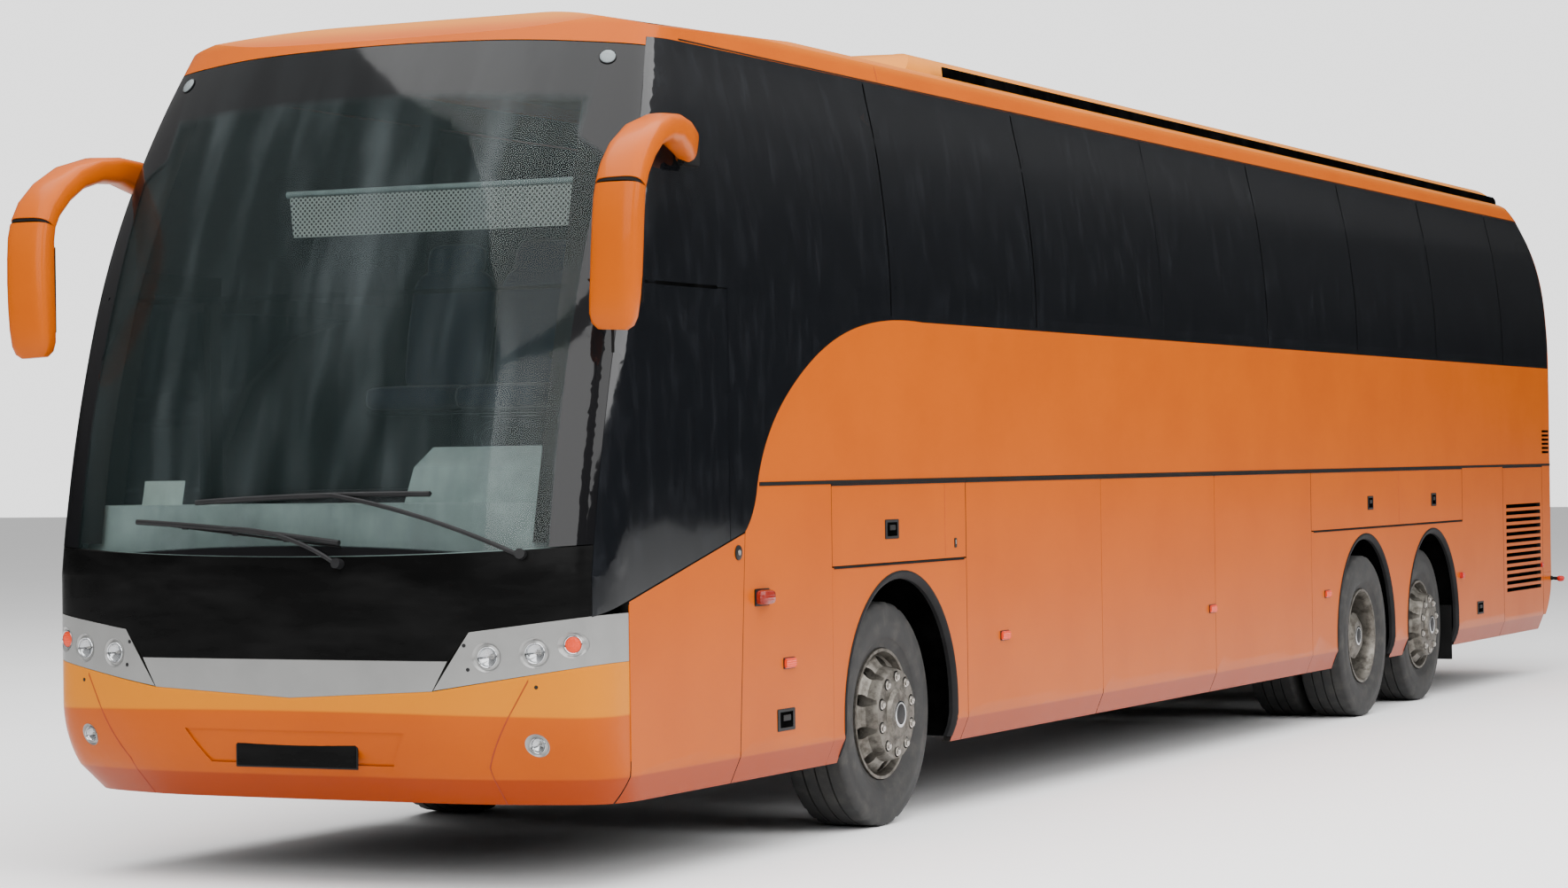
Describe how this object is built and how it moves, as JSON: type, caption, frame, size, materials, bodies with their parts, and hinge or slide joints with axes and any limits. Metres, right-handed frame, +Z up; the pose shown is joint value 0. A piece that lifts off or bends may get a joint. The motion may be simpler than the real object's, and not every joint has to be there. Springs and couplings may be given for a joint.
{
  "type": "three-axle coach bus",
  "caption": "Orange high-deck touring coach with steered front wheels, paired drive wheels, top-hinged luggage and engine doors, door mirrors and a roof cooler.",
  "frame": {"origin": "on the ground under the middle of the bus", "axes": "+Z up, front faces -Y, driver's side is +X"},
  "size_m": [2.9506, 15.0359, 3.6119],
  "materials": {
    "orange_paint": "gloss",
    "black_paint": "gloss",
    "silver_paint": "satin",
    "side_glass": "tinted",
    "screen_glass": "clear",
    "lamp_glass": "clear",
    "red_glass": "clear",
    "tyre_rubber": "matt",
    "rim_steel": "worn",
    "chassis_steel": "matt",
    "axle_iron": "rough",
    "engine_iron": "rough",
    "dark_plastic": "textured",
    "dash_plastic": "textured",
    "seat_fabric": "woven",
    "floor_vinyl": "matt"
  },
  "bodies": {
    "root": {"side_wall_left": "orange_paint", "side_wall_right": "orange_paint", "lower_panels_left": "orange_paint", "lower_panels_right": "orange_paint", "front_bumper": "orange_paint", "roof": "orange_paint", "rear_wall": "orange_paint", "rear_corners": "orange_paint", "rear_bumper": "orange_paint", "mirrors": "orange_paint", "roof_cooler": "orange_paint", "entrance_door": "orange_paint", "front_mask": "black_paint", "lamp_panels": "silver_paint", "side_glass_left": "side_glass", "side_glass_right": "side_glass", "rear_window": "side_glass", "windscreen": "screen_glass", "front_lamps": "lamp_glass", "tail_lamps": "red_glass", "chassis_frame": "chassis_steel", "front_axle": "axle_iron", "drive_axle": "axle_iron", "tag_axle": "axle_iron", "engine_block": "engine_iron", "wipers": "dark_plastic", "dashboard": "dash_plastic", "passenger_seats": "seat_fabric", "driver_seat": "seat_fabric", "floor_deck": "floor_vinyl", "bulkheads": "floor_vinyl"},
    "steering_left": {"knuckle_left": "axle_iron"},
    "wheel_front_left": {"tyre_front_left": "tyre_rubber", "rim_front_left": "rim_steel"},
    "wheel_drive_left": {"tyre_drive_left": "tyre_rubber", "rim_drive_left": "rim_steel"},
    "wheel_tag_left": {"tyre_tag_left": "tyre_rubber", "rim_tag_left": "rim_steel"},
    "steering_right": {"knuckle_right": "axle_iron"},
    "wheel_front_right": {"tyre_front_right": "tyre_rubber", "rim_front_right": "rim_steel"},
    "wheel_drive_right": {"tyre_drive_right": "tyre_rubber", "rim_drive_right": "rim_steel"},
    "wheel_tag_right": {"tyre_tag_right": "tyre_rubber", "rim_tag_right": "rim_steel"},
    "steering_wheel": {"steering_wheel": "dark_plastic"},
    "wheel_flap_left": {"wheel_flap_left": "orange_paint"},
    "wheel_flap_right": {"wheel_flap_right": "orange_paint"},
    "bogie_flap_left": {"bogie_flap_left": "orange_paint"},
    "bogie_flap_right": {"bogie_flap_right": "orange_paint"},
    "engine_door_left": {"engine_door_left": "orange_paint"},
    "engine_door_right": {"engine_door_right": "orange_paint"},
    "luggage_door_1_left": {"luggage_door_1_left": "orange_paint"},
    "luggage_door_1_right": {"luggage_door_1_right": "orange_paint"},
    "luggage_door_2_left": {"luggage_door_2_left": "orange_paint"},
    "luggage_door_2_right": {"luggage_door_2_right": "orange_paint"},
    "luggage_door_3_left": {"luggage_door_3_left": "orange_paint"},
    "luggage_door_3_right": {"luggage_door_3_right": "orange_paint"},
    "service_flap_left": {"service_flap_left": "orange_paint"},
    "engine_lid": {"engine_lid": "orange_paint"}
  },
  "joints": [
    {"name": "steer_left", "type": "hinge", "parent": "root", "child": "steering_left", "pos_m": [0.9, -4.5, 0.505], "axis": [0, 0, 1], "range_deg": [-40, 40]},
    {"name": "roll_front_left", "type": "hinge", "parent": "steering_left", "child": "wheel_front_left", "pos_m": [1.045, -4.5, 0.505], "axis": [1, 0, 0], "continuous": true},
    {"name": "roll_drive_left", "type": "hinge", "parent": "root", "child": "wheel_drive_left", "pos_m": [0.9475, 2.68, 0.505], "axis": [1, 0, 0], "continuous": true},
    {"name": "roll_tag_left", "type": "hinge", "parent": "root", "child": "wheel_tag_left", "pos_m": [1.045, 4.22, 0.505], "axis": [1, 0, 0], "continuous": true},
    {"name": "steer_right", "type": "hinge", "parent": "root", "child": "steering_right", "pos_m": [-0.9, -4.5, 0.505], "axis": [0, 0, 1], "range_deg": [-40, 40]},
    {"name": "roll_front_right", "type": "hinge", "parent": "steering_right", "child": "wheel_front_right", "pos_m": [-1.045, -4.5, 0.505], "axis": [1, 0, 0], "continuous": true},
    {"name": "roll_drive_right", "type": "hinge", "parent": "root", "child": "wheel_drive_right", "pos_m": [-0.9475, 2.68, 0.505], "axis": [1, 0, 0], "continuous": true},
    {"name": "roll_tag_right", "type": "hinge", "parent": "root", "child": "wheel_tag_right", "pos_m": [-1.045, 4.22, 0.505], "axis": [1, 0, 0], "continuous": true},
    {"name": "steering_wheel_turn", "type": "hinge", "parent": "root", "child": "steering_wheel", "pos_m": [0.62, -6.66, 1.7], "axis": [0, 0.5, 0.866], "range_deg": [-600, 600]},
    {"name": "wheel_flap_left_hinge", "type": "hinge", "parent": "root", "child": "wheel_flap_left", "pos_m": [1.275, -4.494, 1.54], "axis": [0, -1, 0], "range_deg": [0, 95]},
    {"name": "wheel_flap_right_hinge", "type": "hinge", "parent": "root", "child": "wheel_flap_right", "pos_m": [-1.275, -4.494, 1.54], "axis": [0, 1, 0], "range_deg": [0, 95]},
    {"name": "bogie_flap_left_hinge", "type": "hinge", "parent": "root", "child": "bogie_flap_left", "pos_m": [1.275, 3.265, 1.54], "axis": [0, -1, 0], "range_deg": [0, 95]},
    {"name": "bogie_flap_right_hinge", "type": "hinge", "parent": "root", "child": "bogie_flap_right", "pos_m": [-1.275, 3.265, 1.54], "axis": [0, 1, 0], "range_deg": [0, 95]},
    {"name": "engine_door_left_hinge", "type": "hinge", "parent": "root", "child": "engine_door_left", "pos_m": [1.275, 6.635, 1.54], "axis": [0, -1, 0], "range_deg": [0, 95]},
    {"name": "engine_door_right_hinge", "type": "hinge", "parent": "root", "child": "engine_door_right", "pos_m": [-1.275, 6.635, 1.54], "axis": [0, 1, 0], "range_deg": [0, 95]},
    {"name": "luggage_door_1_left_hinge", "type": "hinge", "parent": "root", "child": "luggage_door_1_left", "pos_m": [1.275, -2.87, 1.54], "axis": [0, -1, 0], "range_deg": [0, 95]},
    {"name": "luggage_door_1_right_hinge", "type": "hinge", "parent": "root", "child": "luggage_door_1_right", "pos_m": [-1.275, -2.87, 1.54], "axis": [0, 1, 0], "range_deg": [0, 95]},
    {"name": "luggage_door_2_left_hinge", "type": "hinge", "parent": "root", "child": "luggage_door_2_left", "pos_m": [1.275, -1.1, 1.54], "axis": [0, -1, 0], "range_deg": [0, 95]},
    {"name": "luggage_door_2_right_hinge", "type": "hinge", "parent": "root", "child": "luggage_door_2_right", "pos_m": [-1.275, -1.1, 1.54], "axis": [0, 1, 0], "range_deg": [0, 95]},
    {"name": "luggage_door_3_left_hinge", "type": "hinge", "parent": "root", "child": "luggage_door_3_left", "pos_m": [1.275, 0.67, 1.54], "axis": [0, -1, 0], "range_deg": [0, 95]},
    {"name": "luggage_door_3_right_hinge", "type": "hinge", "parent": "root", "child": "luggage_door_3_right", "pos_m": [-1.275, 0.67, 1.54], "axis": [0, 1, 0], "range_deg": [0, 95]},
    {"name": "service_flap_left_hinge", "type": "hinge", "parent": "root", "child": "service_flap_left", "pos_m": [1.275, -7.075, 0.8], "axis": [0, 0, -1], "range_deg": [0, 100]},
    {"name": "engine_lid_hinge", "type": "hinge", "parent": "root", "child": "engine_lid", "pos_m": [0, 7.5, 1.54], "axis": [1, 0, 0], "range_deg": [0, 95]}
  ],
  "couplings": [
    {"joint": "steer_right", "follows": "steer_left", "ratio": 1},
    {"joint": "steering_wheel_turn", "follows": "steer_left", "ratio": 15}
  ]
}
